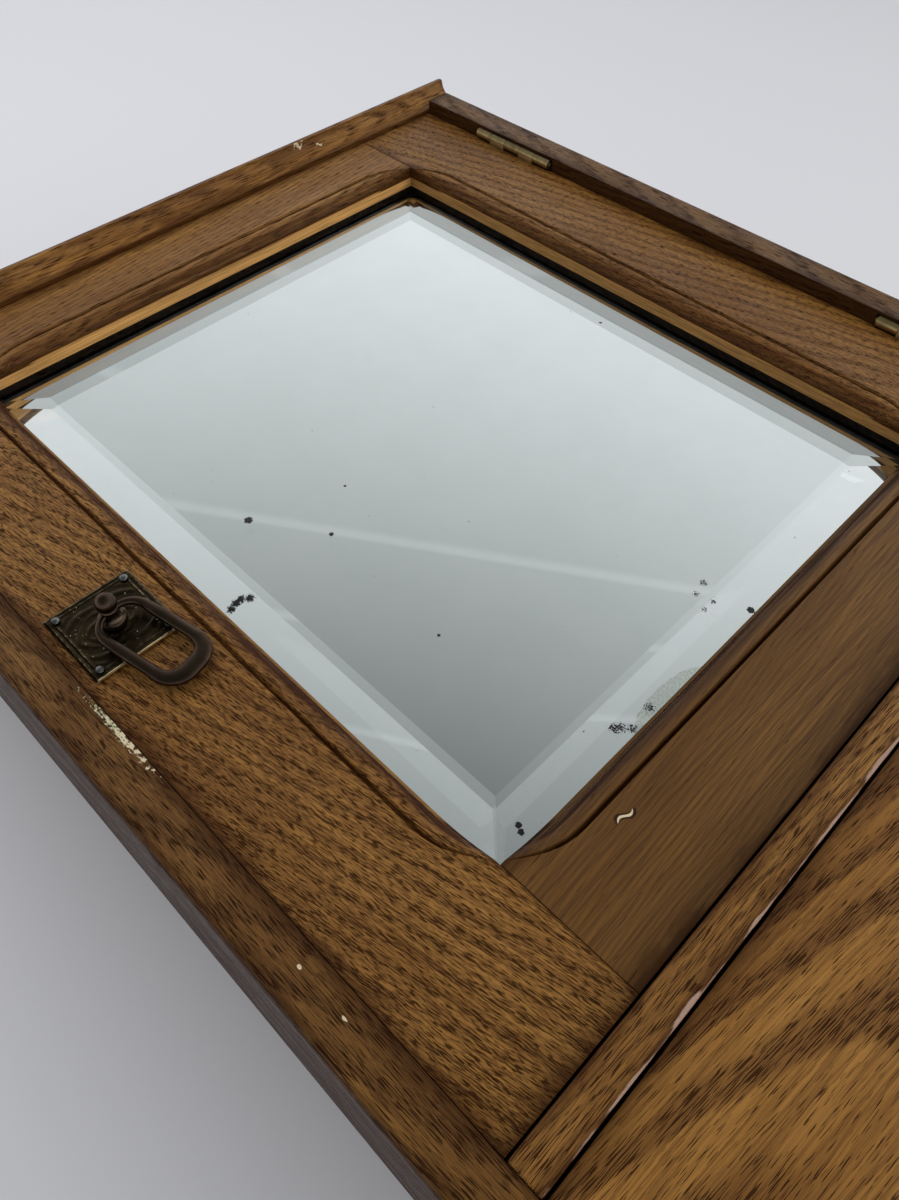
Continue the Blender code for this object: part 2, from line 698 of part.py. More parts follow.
def latch_cam(axis, brass):
    """A tongue riveted on the post behind the door. It points up when open and turns left into the side."""
    back = DOOR_FRONT - CAM_FRONT
    cam = box(
        "latch_cam",
        (-CAM_WIDTH / 2, -CAM_WIDTH / 2, back - CAM_THICK),
        (CAM_WIDTH / 2, CAM_LENGTH, back),
        brass,
    )
    tip = CAM_LENGTH / 2
    round_edges(cam, lambda point: point.y > 0 and abs(point.x) > tip / 10, 0.8 * MM, 2)
    low, high = (0, 0, back - CAM_THICK - OVER), (0, 0, back + OVER)
    bore = cylinder("latch_cam_bore", SHAFT_RADIUS + GAP, low, high, sides=16)
    cut(cam, bore)
    cam.parent = bore.parent = axis
    return cam


def latch_keeper(side, brass, screw):
    """A slotted plate let into the left side, which the cam turns into."""
    x = -INNER
    y = CAM_FRONT + CAM_THICK / 2
    low_z, high_z = PULL_Z - 15 * MM, PULL_Z + 31 * MM
    low, high = (x - 1.2 * MM, y - 6 * MM, low_z), (x - 0.05 * MM, y + 6 * MM, high_z)
    plate = box("latch_keeper", low, high, brass)
    seat = box(
        "keeper_seat",
        (x - 1.2 * MM - GAP, y - 6 * MM - GAP, low_z - GAP),
        (x + OVER, y + 6 * MM + GAP, high_z + GAP),
    )
    slot = box(
        "keeper_slot",
        (x - 6.5 * MM, y - 2.3 * MM, PULL_Z - 7 * MM),
        (x + OVER, y + 2.3 * MM, PULL_Z + 23 * MM),
    )
    cut(side, seat, slot)
    cut(plate, slot)
    for level, z in (("lower", low_z + 4 * MM), ("upper", high_z - 4 * MM)):
        screw.drive(f"keeper_screw_{level}", (x - 0.1 * MM, y, z), FACING_RIGHT, plate, side)


# ---------------------------------------------------------------- drawer


def drawer(oak, thin_oak):
    front_y = -CASE_DEPTH + DRAWER_RECESS
    back_y = front_y + DRAWER_FRONT_THICK
    low_z, high_z = BAY_FLOOR + DOOR_CLEARANCE, DIVIDER_LOW - DOOR_CLEARANCE
    front = box("drawer_front", (-DOOR_HALF, front_y, low_z), (DOOR_HALF, back_y, high_z), oak)
    lap_y = back_y - 8 * MM
    outer = DOOR_HALF - 0.5 * MM
    inner = outer - DRAWER_SIDE_THICK
    rear = BACK_FACE - 5 * MM
    floor = BAY_FLOOR + GAP
    panel_low = floor + 9 * MM
    panel_high = panel_low + DRAWER_BOTTOM_THICK
    side_top = high_z - 4 * MM
    groove = box(
        "drawer_groove",
        (-inner - 4 * MM, lap_y + 3 * MM, panel_low - GAP),
        (inner + 4 * MM, rear + OVER, panel_high + GAP),
    )
    pieces = [front]
    for name, sign in (("drawer_side_left", -1), ("drawer_side_right", 1)):
        x = sorted((sign * inner, sign * outer))
        pieces.append(box(name, (x[0], lap_y, floor), (x[1], rear, side_top), thin_oak))
        x = sorted((sign * (inner - GAP), sign * (DOOR_HALF + OVER)))
        low = (x[0], lap_y - GAP, floor - OVER - DOOR_CLEARANCE)
        lap = box(f"{name}_lap", low, (x[1], back_y + OVER, high_z + OVER))
        cut(front, lap)
    for piece in pieces:
        cut(piece, groove)
    back_z = panel_high + 2 * GAP
    half = inner - GAP
    pieces.append(box("drawer_back", (-half, rear - 8 * MM, back_z), (half, rear, side_top), thin_oak))
    half = inner + 4 * MM - GAP
    pieces.append(
        box("drawer_bottom", (-half, lap_y + 3 * MM + GAP, panel_low), (half, rear, panel_high), thin_oak)
    )
    return front_y, pieces


# ---------------------------------------------------------------- the cabinet


def main():
    clear_scene()
    oak = material("varnished_oak", (0.20, 0.095, 0.035), 0.32)
    thin_oak = material("inside_oak", (0.30, 0.17, 0.08), 0.6)
    brass = material("brass", (0.50, 0.36, 0.16), 0.38, 1.0)
    bronze = material("aged_bronze", (0.11, 0.085, 0.06), 0.42, 1.0)
    glass = material("silvered_glass", (0.9, 0.92, 0.92), 0.02, 1.0)
    iron = material("iron", (0.12, 0.11, 0.10), 0.6, 1.0)

    size = (2.3 * MM, 1.2 * MM, 1.3 * MM, 14 * MM)
    leaf_screw = Fastener("leaf_screw", screw_profile(*size), hole_profile(*size), brass)
    size = (1.7 * MM, 0.9 * MM, 0.9 * MM, 9 * MM)
    small_screw = Fastener("small_screw", screw_profile(*size), hole_profile(*size), brass)
    shank, length = 0.9 * MM, 9 * MM
    wide, top, bottom = shank + GAP, 2 * GAP, -length - GAP
    hole = ((0, top), (wide, top), (wide, bottom), (0, bottom))
    plate_pin = Fastener("plate_pin", pin_profile(1.8 * MM, 1.0 * MM, shank, length), hole, bronze)
    nail = Fastener("nail", pin_profile(1.8 * MM, 0.8 * MM, shank, length), hole, iron)

    left, right = case(oak, thin_oak)
    latch_keeper(left, brass, small_screw)

    stiles, rails = door_frame(oak)
    stile_latch, stile_hinge = stiles
    bedding, board, nails = mirror_backing(oak, thin_oak)
    door = [*stiles, *rails, mirror(glass), bedding, board]
    for name, spot in nails:
        stile = stile_latch if spot[0] < 0 else stile_hinge
        door.append(nail.drive(name, spot, FACING_BACK, board, stile))
    for label, middle in zip(("lower", "upper"), HINGE_MIDDLES):
        door += hinge(label, middle, right, stile_hinge, brass, leaf_screw)
    bail_data = bail_curve("bail")
    turned_front = (math.pi / 2, -LATCH_SKEW, 0)
    latch_axis = pivot("latch_axis", (PULL_X, DOOR_FRONT, PULL_Z), turned_front)
    latch_shaft = CAM_FRONT + CAM_THICK + GAP - DOOR_FRONT
    fixed = drop_pull(
        "pull", latch_axis, DOOR_FRONT, latch_shaft, (stile_latch,), bronze, plate_pin, bail_data
    )
    latch_cam(latch_axis, brass)
    door_axis = pivot("door_axis", (HINGE_X, HINGE_Y, 0))
    hang_on(door_axis, *door, *fixed, latch_axis)

    face_y, drawer_pieces = drawer(oak, thin_oak)
    middle_z = (BAY_FLOOR + DIVIDER_LOW) / 2
    post_axis = pivot("drawer_post_axis", (-PLATE_OFFSET_X, face_y, middle_z + 10 * MM), (math.pi / 2, 0, 0))
    shaft = DRAWER_FRONT_THICK + GAP
    fixed = drop_pull(
        "drawer_pull", post_axis, face_y, shaft, (drawer_pieces[0],), bronze, plate_pin, bail_data
    )
    slide = pivot("drawer_slide", (0, face_y, middle_z))
    hang_on(slide, *drawer_pieces, *fixed, post_axis)


main()
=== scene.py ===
"""Looks of the antique oak medicine cabinet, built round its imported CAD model.

Everything is in metres in the cabinet's frame: +Z up, -Y out of the wall, origin at the middle of the back.
"""

import json
import math
import random

import bmesh
import bpy
from mathutils import Euler, Matrix, Vector


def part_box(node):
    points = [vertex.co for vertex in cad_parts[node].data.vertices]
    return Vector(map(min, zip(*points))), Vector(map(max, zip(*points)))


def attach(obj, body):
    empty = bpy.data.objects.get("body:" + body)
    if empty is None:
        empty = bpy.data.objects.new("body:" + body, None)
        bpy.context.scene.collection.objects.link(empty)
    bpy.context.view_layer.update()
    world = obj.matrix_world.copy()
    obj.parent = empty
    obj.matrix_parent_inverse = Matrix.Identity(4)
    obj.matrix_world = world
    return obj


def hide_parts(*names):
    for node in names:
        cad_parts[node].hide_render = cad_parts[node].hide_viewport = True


MM = 0.001

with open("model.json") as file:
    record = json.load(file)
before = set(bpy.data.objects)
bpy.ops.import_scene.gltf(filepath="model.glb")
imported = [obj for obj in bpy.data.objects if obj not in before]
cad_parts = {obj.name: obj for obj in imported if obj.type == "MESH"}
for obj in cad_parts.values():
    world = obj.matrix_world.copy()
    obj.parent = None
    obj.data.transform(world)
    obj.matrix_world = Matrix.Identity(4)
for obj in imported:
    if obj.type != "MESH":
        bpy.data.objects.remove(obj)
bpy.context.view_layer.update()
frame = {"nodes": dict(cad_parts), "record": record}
NODES = frame["nodes"]
JOINTS = {joint["name"]: joint for joint in frame["record"]["behaviour"]["joints"]}


def corners_of(node):
    """The low and high corners of a CAD node's box."""
    low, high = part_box(node)
    return Vector(low), Vector(high)


# Places read from the frame
CASE_LOW, CASE_HIGH = corners_of("side_left")[0], corners_of("side_right")[1]
DOOR_FACE = corners_of("stile_latch")[0].y
DRAWER_FACE = corners_of("drawer_front")[0].y


# ---------------------------------------------------------------- shader helpers


# A colour mix node's sockets, which share their names with those of its other kinds
MIX_FIRST, MIX_SECOND, MIX_RESULT = 6, 7, 2


class NodeTree:
    """Short names for the nodes that this script uses."""

    def __init__(self, tree):
        self.tree = tree

    def put(self, value, socket):
        if isinstance(value, bpy.types.NodeSocket):
            self.tree.links.new(value, socket)
        elif isinstance(value, tuple) and len(value) == 3 and len(socket.default_value) == 4:
            socket.default_value = (*value, 1.0)
        else:
            socket.default_value = value

    def math(self, operation, first, second=0.0, third=0.0, clamp=False):
        node = self.tree.nodes.new("ShaderNodeMath")
        node.operation = operation
        node.use_clamp = clamp
        for value, socket in zip((first, second, third), node.inputs):
            self.put(value, socket)
        return node.outputs[0]

    def vector(self, operation, first, second=(0.0, 0.0, 0.0)):
        node = self.tree.nodes.new("ShaderNodeVectorMath")
        node.operation = operation
        self.put(first, node.inputs[0])
        if operation == "SCALE":
            self.put(second, node.inputs["Scale"])
        else:
            self.put(second, node.inputs[1])
        return node.outputs["Value"] if operation in ("DOT_PRODUCT", "LENGTH") else node.outputs[0]

    def parts(self, place):
        node = self.tree.nodes.new("ShaderNodeSeparateXYZ")
        self.put(place, node.inputs[0])
        return node.outputs

    def joined(self, x, y, z):
        node = self.tree.nodes.new("ShaderNodeCombineXYZ")
        for value, socket in zip((x, y, z), node.inputs):
            self.put(value, socket)
        return node.outputs[0]

    def noise(self, place, lumps, detail=2.0, roughness=0.5):
        """Noise with so many lumps to a metre of place: one number, or one for each axis."""
        node = self.tree.nodes.new("ShaderNodeTexNoise")
        operation = "MULTIPLY" if isinstance(lumps, tuple) else "SCALE"
        self.put(self.vector(operation, place, lumps), node.inputs["Vector"])
        self.put(1.0, node.inputs["Scale"])
        self.put(detail, node.inputs["Detail"])
        self.put(roughness, node.inputs["Roughness"])
        return node.outputs["Fac"]

    def spots(self, place, scale):
        """Distance to the nearest of scattered points."""
        node = self.tree.nodes.new("ShaderNodeTexVoronoi")
        self.put(place, node.inputs["Vector"])
        self.put(scale, node.inputs["Scale"])
        return node.outputs["Distance"]

    def span(self, value, low, high, to_low=0.0, to_high=1.0):
        """Maps low..high to to_low..to_high with soft ends, clamped."""
        node = self.tree.nodes.new("ShaderNodeMapRange")
        node.interpolation_type = "SMOOTHSTEP"
        self.put(value, node.inputs["Value"])
        for label, number in zip(("From Min", "From Max", "To Min", "To Max"), (low, high, to_low, to_high)):
            self.put(number, node.inputs[label])
        return node.outputs[0]

    def blend(self, factor, first, second):
        node = self.tree.nodes.new("ShaderNodeMix")
        node.data_type = "RGBA"
        self.put(factor, node.inputs[0])
        self.put(first, node.inputs[MIX_FIRST])
        self.put(second, node.inputs[MIX_SECOND])
        return node.outputs[MIX_RESULT]


class Shader(NodeTree):
    """A material built round its Principled BSDF."""

    def __init__(self, name):
        self.material = bpy.data.materials.new(name)
        self.material.use_nodes = True
        super().__init__(self.material.node_tree)
        self.surface = self.tree.nodes["Principled BSDF"]
        self.object_place = self.tree.nodes.new("ShaderNodeTexCoord").outputs["Object"]

    def bump(self, height, distance, strength):
        node = self.tree.nodes.new("ShaderNodeBump")
        self.put(height, node.inputs["Height"])
        self.put(distance, node.inputs["Distance"])
        self.put(strength, node.inputs["Strength"])
        self.tree.links.new(node.outputs[0], self.surface.inputs["Normal"])

    def set(self, **values):
        for name, value in values.items():
            self.put(value, self.surface.inputs[name.replace("_", " ").title().replace("Ior", "IOR")])
        return self


def dress(name, shader):
    """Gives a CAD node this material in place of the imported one."""
    mesh = NODES[name].data
    mesh.materials.clear()
    mesh.materials.append(shader.material)


# ---------------------------------------------------------------- oak

GRAIN_UP, GRAIN_ACROSS = "up", "across"
OAK_LIGHT = (0.295, 0.139, 0.030)
OAK_MIDDLE = (0.196, 0.084, 0.0155)
OAK_DARK = (0.086, 0.032, 0.0060)
OAK_PORE = (0.018, 0.0058, 0.0016)
# The stain colour also serves as painted shade along the boards' edges and in the mouldings.
OAK_STAIN_AND_SHADE = (0.030, 0.0075, 0.0018)
OAK_RAW = (0.38, 0.20, 0.065)
# The last of these is the rubbed arris: worn wood, made paler still as a painted highlight.
CREAM, OLD_PAINT, RUBBED_HIGHLIGHT = (0.66, 0.55, 0.36), (0.34, 0.33, 0.20), (0.42, 0.27, 0.20)


def year_rings(s, along, across, y, drifted, pith, ring, taper, wobble):
    """1 in each year's early wood and 0 in its late wood. The rings are cones round the pith."""
    side = s.math("SUBTRACT", across, pith[0])
    back = s.math("SUBTRACT", y, pith[1])
    radius = s.math("SQRT", s.math("ADD", s.math("MULTIPLY", side, side), s.math("MULTIPLY", back, back)))
    years = s.math("DIVIDE", s.math("MULTIPLY_ADD", along, taper, radius), ring)
    years = s.math("MULTIPLY_ADD", s.noise(drifted, (9.0, 60.0, 60.0), detail=3.0), wobble, years)
    phase = s.math("FRACT", years)
    return s.math("MULTIPLY", s.span(phase, 0.0, 0.12), s.span(phase, 0.62, 0.28))


def oak_pores(s, fibres, early, pores, long, wide, crowd):
    """1 in a pore: long dark dashes and shorter flecks, crowded in each year's early wood."""
    dash = s.noise(fibres, (long, wide, wide), detail=1.0, roughness=0.4)
    short = s.noise(fibres, (1.8 * long, 2 * wide, 2 * wide), detail=1.0, roughness=0.4)
    dense = s.math("MULTIPLY_ADD", early, crowd, s.math("ADD", dash, 0.07 * (pores - 1)))
    fleck = s.span(s.math("MULTIPLY_ADD", early, 0.05, short), 0.60, 0.66)
    fleck = s.math("MULTIPLY", fleck, 0.6 * min(pores, 1))
    return s.math("MAXIMUM", s.span(dense, 0.56, 0.61), fleck)


def scarred(s, colour, marks, x, z, behind_front, scar_depth):
    """Paints small scars on a board's front and returns the colour."""
    crumb = s.noise(s.object_place, (900.0, 900.0, 500.0), detail=3.0, roughness=0.6)
    front = s.span(behind_front, scar_depth, 0.8 * scar_depth)
    for mark_x, mark_z, half_x, half_z, curl, ragged, paint in marks:
        u = s.math("DIVIDE", s.math("SUBTRACT", x, mark_x * MM), half_x * MM)
        v = s.math("DIVIDE", s.math("SUBTRACT", z, mark_z * MM), half_z * MM)
        v = s.math("MULTIPLY_ADD", s.math("SINE", s.math("MULTIPLY", u, 3.0)), curl, v)
        off = s.vector("LENGTH", s.joined(u, v, 0.0))
        off = s.math("MULTIPLY_ADD", s.math("SUBTRACT", crumb, 0.5), ragged, off)
        colour = s.blend(s.math("MULTIPLY", s.span(off, 1.05, 0.85), front), colour, paint)
    return colour


def oak(
    name, node, grain, seed, slope=0.0, ring=5 * MM, pith=(0.12, 0.05), taper=0.10, wobble=1.1, bands=0.25,
    pores=1.0, long=260.0, wide=3000.0, crowd=0.07, tone=1.0, edge_shade_and_dirt=1.0, face=None, lip=1.0, mould_stain_and_shade=0.95,
    wear_and_highlight=0.0, marks=(), scar_depth=3 * MM, varnish=0.06, raw=False,
):
    """Flat-sawn oak for the board in a CAD node.

    grain is the way the fibres run, and slope how far they lean across the board per unit of length.
    pith is the tree's centre beside and behind the board, ring the width of a year's growth, taper the
    slant of the rings' cones, wobble how uneven they are and bands how dark their early wood is.
    pores is how many pores there are against common oak, long and wide how many fit in a metre along and
    across the fibres, and crowd how far they keep to early wood.
    tone lightens the whole board, and edge_shade_and_dirt is how much painted shade and dirt darken it along
    the edges.
    face is where a door board's face lies along Y, mould_stain_and_shade how dark stain and painted shade
    make the moulding behind it, and lip the tone of the bare inner face behind the moulding, set above 1 on
    the far-side boards as painted light.
    wear_and_highlight is the width of the rubbed arris along the front's lower edge, painted paler as wear
    and as a painted highlight. marks are small scars, each (x, z, half width, half height, curl, raggedness,
    colour) in millimetres, that go scar_depth back from the front.
    raw wood is paler, and varnish is how strong the coat is.
    """
    s = Shader(name)
    x, y, z = s.parts(s.object_place)
    along, across = (z, x) if grain == GRAIN_UP else (x, z)
    across = s.math("MULTIPLY_ADD", along, slope, across)
    shift = random.Random(seed)
    along = s.math("ADD", along, shift.uniform(-3, 3))
    across = s.math("ADD", across, shift.uniform(-0.02, 0.02))
    place = s.joined(along, across, y)

    # Slow waves bend the fibres
    slow = s.noise(place, (5.0, 18.0, 18.0))
    wave = s.math("MULTIPLY", s.math("SUBTRACT", slow, 0.5), 10 * MM)
    across = s.math("ADD", across, wave)
    fibres = s.joined(along, across, y)
    early = year_rings(s, along, across, y, place, pith, ring, taper, wobble)
    pore = oak_pores(s, fibres, early, pores, long, wide, crowd)

    # Colour: broad drift, ring bands, fibre streaks, then pores
    drift = s.noise(place, (6.0, 30.0, 30.0), detail=3.0)
    streak = s.noise(fibres, (18.0, 1100.0, 1100.0), detail=4.0, roughness=0.7)
    colour = s.blend(s.span(drift, 0.3, 0.7), OAK_MIDDLE, OAK_LIGHT)
    colour = s.blend(s.math("MULTIPLY", early, bands), colour, OAK_DARK)
    colour = s.blend(s.span(streak, 0.36, 0.66, 0.0, 0.75), colour, OAK_DARK)
    colour = s.blend(s.math("MULTIPLY", pore, 0.88), colour, OAK_PORE)
    if raw:
        colour = s.blend(0.45, colour, OAK_RAW)

    # Painted shade and dirt darken the board along its edges and seams
    low, high = corners_of(node)
    edge_x = s.math("MINIMUM", s.math("SUBTRACT", x, low.x), s.math("SUBTRACT", high.x, x))
    above_low = s.math("SUBTRACT", z, low.z)
    edge_z = s.math("MINIMUM", above_low, s.math("SUBTRACT", high.z, z))
    edge = s.math("MINIMUM", edge_x, edge_z)
    patch = s.noise(place, (28.0, 60.0, 60.0), detail=4.0, roughness=0.6)
    reach = s.span(patch, 0.3, 0.75, 1 * MM, 15 * MM)
    shade_and_stain = s.math("SUBTRACT", 1.0, s.math("DIVIDE", edge, reach), clamp=True)
    shade_and_stain = s.math("MULTIPLY", s.math("POWER", shade_and_stain, 1.4), 0.75 * edge_shade_and_dirt)
    straight = s.joined(z, x, y) if grain == GRAIN_UP else s.joined(x, z, y)
    if face is not None:
        depth = s.math("SUBTRACT", y, face)
        # The moulding is darkened with stain and with painted shade, deeper on the near-side boards.
        mould = s.math("MULTIPLY", s.span(depth, 0.4 * MM, 1.6 * MM), s.span(depth, 6.9 * MM, 6.4 * MM))
        lines = s.noise(straight, (14.0, 700.0, 700.0), detail=3.0)
        lines = s.span(lines, 0.36, 0.58, mould_stain_and_shade - 0.45, mould_stain_and_shade)
        shade_and_stain = s.math("MAXIMUM", shade_and_stain, s.math("MULTIPLY", mould, lines))
    colour = s.blend(shade_and_stain, colour, OAK_STAIN_AND_SHADE)
    if face is not None:
        # The bare inner face shows paler raw wood; on the far-side boards it is lightened further as painted
        # light.
        rubbed = s.math("MULTIPLY", s.span(depth, 6.5 * MM, 7.0 * MM), s.span(streak, 0.35, 0.65, 0.9, 0.5))
        colour = s.blend(rubbed, colour, tuple(lip * part for part in OAK_RAW))
    colour = s.vector("SCALE", colour, tone)
    behind_front = s.math("SUBTRACT", y, low.y)
    # The rubbed lower arris: worn wood, painted paler as a highlight where the rounded edge catches the
    # light.
    if wear_and_highlight:
        nibble = s.noise(straight, (60.0, 300.0, 300.0), detail=4.0)
        off = s.math("MAXIMUM", above_low, behind_front)
        off = s.math("MULTIPLY_ADD", s.math("SUBTRACT", nibble, 0.5), 5 * wear_and_highlight, off)
        colour = s.blend(s.span(off, wear_and_highlight, 0.4 * wear_and_highlight), colour, RUBBED_HIGHLIGHT)
    if marks:
        colour = scarred(s, colour, marks, x, z, behind_front, scar_depth)

    gloss = s.noise(place, (30.0, 110.0, 110.0), detail=3.0)
    rough = s.math("MULTIPLY_ADD", pore, 0.22, s.span(gloss, 0.3, 0.7, 0.36, 0.52))
    height = s.math("SUBTRACT", s.math("MULTIPLY", streak, 0.35), pore)
    s.bump(height, 0.12 * MM, 0.6)
    shine = s.math("MULTIPLY_ADD", s.math("MAXIMUM", pore, shade_and_stain), -0.2, 0.26)
    s.set(base_color=colour, roughness=rough, specular_ior_level=shine)
    s.set(coat_weight=varnish, coat_roughness=0.22)
    return s


# ---------------------------------------------------------------- staging

# The camera looks up at the door from close by, low on its left
CAMERA_PLACE = (-0.2477, -0.4400, -0.1847)
CAMERA_RIGHT = (0.70461, -0.00721, -0.70956)
CAMERA_UP = (0.55974, -0.60894, 0.56203)
CAMERA_LENS = 27.14
LONG_SENSOR_SIDE = 36.0


def camera():
    data = bpy.data.cameras.new("camera")
    data.lens = CAMERA_LENS
    data.sensor_width = LONG_SENSOR_SIDE
    obj = bpy.data.objects.new("camera", data)
    right, up = Vector(CAMERA_RIGHT), Vector(CAMERA_UP)
    turn = Matrix((right, up, right.cross(up))).transposed()
    obj.matrix_world = Matrix.Translation(CAMERA_PLACE) @ turn.to_4x4()
    data.clip_start = 0.01
    bpy.context.collection.objects.link(obj)
    bpy.context.scene.camera = obj


def pale_room():
    """A soft room: bright low down and to the right, dim ahead of the mirror, with one faint ceiling edge."""
    world = bpy.data.worlds.new("room")
    bpy.context.scene.world = world
    world.use_nodes = True
    room = NodeTree(world.node_tree)
    way = room.tree.nodes.new("ShaderNodeTexCoord").outputs["Generated"]
    slope = room.vector("DOT_PRODUCT", way, (0.36, 1.40, 0.0))
    level = room.math("MINIMUM", room.math("MAXIMUM", room.math("ADD", slope, 1.352), 0.14), 0.95)
    edge = room.vector("DOT_PRODUCT", way, (0.643, 0.642, 0.417))
    band = room.math("MULTIPLY", room.span(edge, -0.004, 0.001), room.span(edge, 0.012, 0.003))
    level = room.math("ADD", level, room.math("MULTIPLY", band, 0.07))
    background = room.tree.nodes["Background"]
    room.put(room.blend(level, (0.95, 1.02, 1.02), (0.97, 1.0, 1.03)), background.inputs["Color"])
    room.put(level, background.inputs["Strength"])


def wall():
    """The pale surface that the cabinet hangs on. It is open behind the cabinet, and clear from behind."""
    mesh = bpy.data.meshes.new("pale_wall")
    inset, gap, reach = 8 * MM, 1 * MM, 3.0
    half, low, high = CASE_HIGH.x - inset, CASE_LOW.z + inset, CASE_HIGH.z - inset
    shape = bmesh.new()
    corners = ((-1, -1), (1, -1), (1, 1), (-1, 1))
    outer = [shape.verts.new((x * reach, gap, z * reach)) for x, z in corners]
    inner = [shape.verts.new((x * half, gap, low if z < 0 else high)) for x, z in corners]
    for i in range(4):
        j = (i + 1) % 4
        shape.faces.new((outer[i], outer[j], inner[j], inner[i]))
    shape.to_mesh(mesh)
    shape.free()
    obj = bpy.data.objects.new("pale_wall", mesh)
    bpy.context.collection.objects.link(obj)

    s = Shader("pale_wall")
    grain = s.noise(s.object_place, 900.0)
    s.set(base_color=(0.79, 0.78, 0.81), roughness=0.55)
    s.bump(grain, 0.1 * MM, 0.25)
    clear = s.tree.nodes.new("ShaderNodeBsdfTransparent")
    mix = s.tree.nodes.new("ShaderNodeMixShader")
    behind = s.tree.nodes.new("ShaderNodeNewGeometry").outputs["Backfacing"]
    s.tree.links.new(behind, mix.inputs[0])
    s.tree.links.new(s.surface.outputs[0], mix.inputs[1])
    s.tree.links.new(clear.outputs[0], mix.inputs[2])
    s.tree.links.new(mix.outputs[0], s.tree.nodes["Material Output"].inputs["Surface"])
    mesh.materials.append(s.material)


def lamp(name, place, target, size, power, colour):
    """A soft square light that no shiny surface or mirror shows."""
    data = bpy.data.lights.new(name, "AREA")
    data.size = size
    data.energy = power
    data.color = colour
    obj = bpy.data.objects.new(name, data)
    obj.location = place
    obj.rotation_euler = (Vector(target) - Vector(place)).to_track_quat("-Z", "Y").to_euler()
    obj.visible_glossy = obj.visible_transmission = obj.visible_camera = False
    bpy.context.collection.objects.link(obj)


# ---------------------------------------------------------------- boards


def worn_edges(name, width):
    """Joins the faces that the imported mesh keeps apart, and softens the arrises."""
    obj = NODES[name]
    weld = obj.modifiers.new("weld", "WELD")
    weld.merge_threshold = 1e-6
    bevel = obj.modifiers.new("worn_edges", "BEVEL")
    bevel.width = width
    bevel.segments = 2
    bevel.limit_method = "ANGLE"
    bevel.angle_limit = math.radians(38)
    bevel.use_clamp_overlap = True


CRISP_EDGE, WORN_EDGE = 0.5 * MM, 0.9 * MM
MOST_WORN = ("divider_board", "side_left", "side_right")

# A pale scratch in a dark dent under the glass
RAIL_MARKS = (
    (-108, -136, 5, 1.5, 1.0, 0.6, OAK_STAIN_AND_SHADE),
    (-108, -136, 4, 0.6, 1.7, 0.5, CREAM),
)
# Two chips in the hollow under the nose
TOP_MARKS = (
    (105, 302, 3, 0.5, 1, 4, CREAM),
    (121, 300, 2, 0.5, 1, 4, CREAM),
)
# Two specks low down, and old paint where the arris by the pull is bruised
SIDE_MARKS = (
    (-222, -97, 0.6, 1, 0, 1.5, CREAM),
    (-222, -118, 0.5, 1.2, 0, 1.5, CREAM),
    (-216, 14, 1.2, 14, 0, 7.0, OLD_PAINT),
    (-216, 8, 0.8, 10, 0, 9.0, CREAM),
)


def boards():
    """Every wooden node's own oak, and its worn arrises."""
    door, up, flat = dict(face=DOOR_FACE), dict(grain=GRAIN_UP), dict(grain=GRAIN_ACROSS)
    looks = {
        "stile_latch": dict(
            seed=3, slope=0.16, pith=(-0.9, 0.5), pores=1.25, long=270.0, wide=2900.0, bands=0.15, tone=1.2,
            **up, **door,
        ),
        # The far-side boards, the hinge stile and top rail, get a lighter moulding and a brighter inner face:
        # painted light where light falls on them.
        "stile_hinge": dict(
            seed=5, slope=0.05, pith=(0.10, 0.06), ring=3.5 * MM, pores=0.8, tone=1.12, lip=1.35,
            mould_stain_and_shade=0.7, **up, **door,
        ),
        "rail_top": dict(
            seed=7, pith=(0.55, 0.2), ring=2.2 * MM, pores=0.2, long=120.0, tone=1.1, lip=2.4,
            mould_stain_and_shade=0.7, **flat, **door,
        ),
        "rail_bottom": dict(
            seed=9, pith=(0.35, 0.2), ring=2.0 * MM, pores=-1.6, long=90.0, tone=0.64, marks=RAIL_MARKS,
            **flat, **door,
        ),
        "drawer_front": dict(
            seed=11, slope=0.09, pith=(-0.25, -0.02), ring=4.6 * MM, taper=0.05, wobble=0.3, bands=0.6,
            pores=0.2, long=110.0, wide=2600.0, crowd=0.11, tone=1.3, edge_shade_and_dirt=0.7, **flat,
        ),
        "divider_board": dict(
            seed=13, pith=(-0.4, 0.1), ring=2.5 * MM, pores=0.7, long=120.0, wide=2600.0, tone=1.15,
            wear_and_highlight=1.1 * MM, **flat,
        ),
        "bottom_board": dict(seed=15, pith=(-0.5, 0.1), ring=2.5 * MM, **flat),
        "top_board": dict(
            seed=17, pith=(0.6, 0.1), ring=3 * MM, pores=0.3, long=90.0, tone=1.35, marks=TOP_MARKS,
            scar_depth=14 * MM, **flat,
        ),
        "side_left": dict(
            seed=19, slope=0.02, pith=(-0.3, 0.15), ring=4 * MM, pores=0.9, long=140.0, wide=2600.0,
            tone=0.80, marks=SIDE_MARKS, **up,
        ),
        "side_right": dict(seed=21, pith=(0.3, 0.15), ring=4 * MM, long=120.0, tone=0.76, **up),
        "door_stop": dict(seed=23, **flat),
        # The bedding is toned almost black: painted shade in the gap between the lip and the glass.
        "mirror_bedding": dict(seed=61, tone=0.06, varnish=0.0, **flat),
    }
    plain = dict(raw=True, varnish=0.0, tone=1.05, edge_shade_and_dirt=0.7)
    for index, name in enumerate(("back_board_left", "back_board_middle", "back_board_right")):
        looks[name] = dict(seed=31 + index, pith=(0.1 - 0.1 * index, 0.09), **up, **plain)
    for index, name in enumerate(
        ("shelf_lower", "shelf_upper", "hanging_rail", "drawer_back", "drawer_bottom", "mirror_backboard")
    ):
        looks[name] = dict(seed=41 + index, pith=(0.3, 0.12), **flat, **plain)
    for index, name in enumerate(("drawer_side_left", "drawer_side_right")):
        looks[name] = dict(seed=51 + index, **up, **plain)
    for name, look in looks.items():
        dress(name, oak(f"oak_{name}", name, **look))
        worn_edges(name, WORN_EDGE if name in MOST_WORN else CRISP_EDGE)


# ---------------------------------------------------------------- mirror


